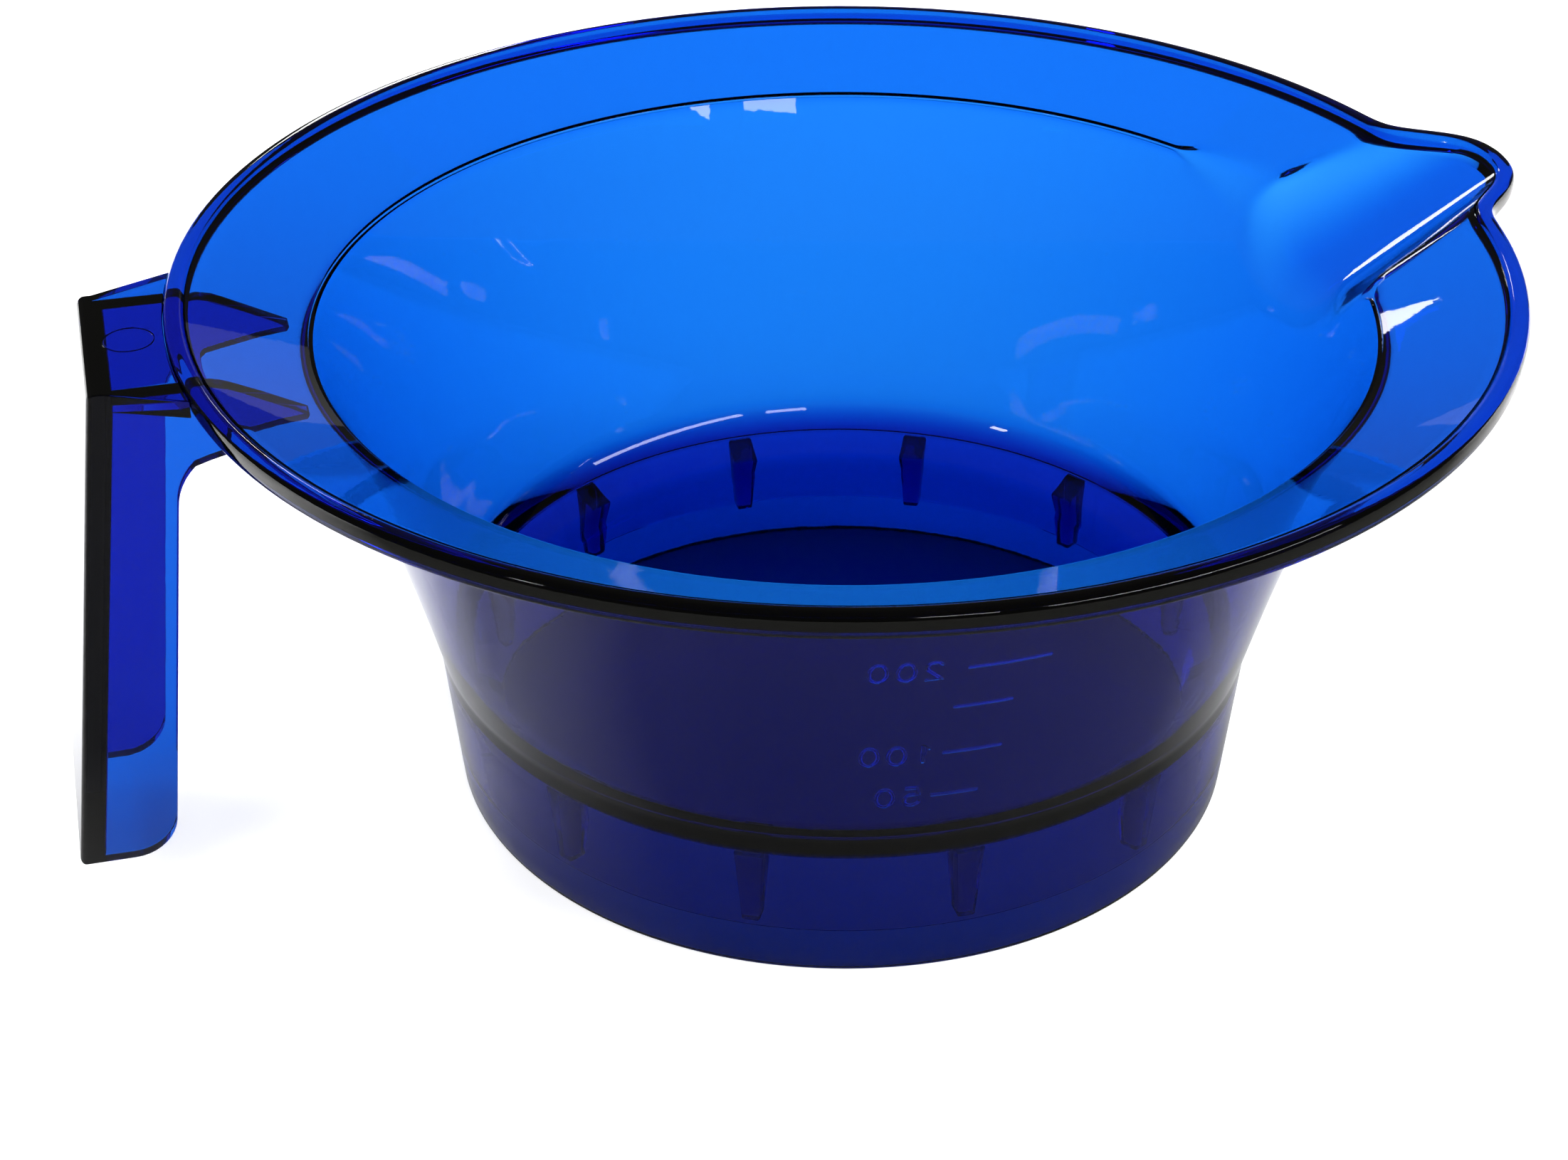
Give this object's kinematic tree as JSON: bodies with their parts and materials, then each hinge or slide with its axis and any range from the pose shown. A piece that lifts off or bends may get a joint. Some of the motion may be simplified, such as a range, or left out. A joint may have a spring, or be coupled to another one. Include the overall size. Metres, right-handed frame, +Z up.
{
  "type": "hair color bowl",
  "caption": "Clear blue plastic bowl for mixing hair color, with a flared rim, a pouring spout, an open channel handle and a hollow ribbed foot.",
  "frame": {"origin": "centre of the object's outline seen from above, on the plane that the foot stands on", "axes": "+X from the handle to the tip of the pouring spout, +Z up along the bowl's axis"},
  "size_m": [0.1674, 0.144, 0.0623],
  "materials": {
    "clear_blue_shell": "glossy clear blue",
    "clear_blue_handle": "glossy clear blue",
    "raised_marks": "glossy clear blue, moulded in"
  },
  "bodies": {
    "root": {"bowl_wall": "clear_blue_shell", "bowl_floor": "clear_blue_shell", "base_skirt": "clear_blue_shell", "foot_ring": "clear_blue_shell", "skirt_rib_01": "clear_blue_shell", "skirt_rib_02": "clear_blue_shell", "skirt_rib_03": "clear_blue_shell", "skirt_rib_04": "clear_blue_shell", "skirt_rib_05": "clear_blue_shell", "skirt_rib_06": "clear_blue_shell", "skirt_rib_07": "clear_blue_shell", "skirt_rib_08": "clear_blue_shell", "skirt_rib_09": "clear_blue_shell", "skirt_rib_10": "clear_blue_shell", "skirt_rib_11": "clear_blue_shell", "skirt_rib_12": "clear_blue_shell", "rim_flange": "clear_blue_shell", "rim_bead": "clear_blue_shell", "pour_spout": "clear_blue_shell", "spout_lip": "clear_blue_shell", "handle_top_plate": "clear_blue_handle", "handle_grip_plate": "clear_blue_handle", "handle_side_front": "clear_blue_handle", "handle_side_back": "clear_blue_handle", "gusset_front": "clear_blue_handle", "gusset_back": "clear_blue_handle", "graduation_tick_50": "raised_marks", "graduation_tick_100": "raised_marks", "graduation_tick_150": "raised_marks", "graduation_tick_200": "raised_marks", "numeral_50_digit_1": "raised_marks", "numeral_50_digit_2": "raised_marks", "numeral_100_digit_1": "raised_marks", "numeral_100_digit_2": "raised_marks", "numeral_100_digit_3": "raised_marks", "numeral_200_digit_1": "raised_marks", "numeral_200_digit_2": "raised_marks", "numeral_200_digit_3": "raised_marks"}
  },
  "joints": []
}
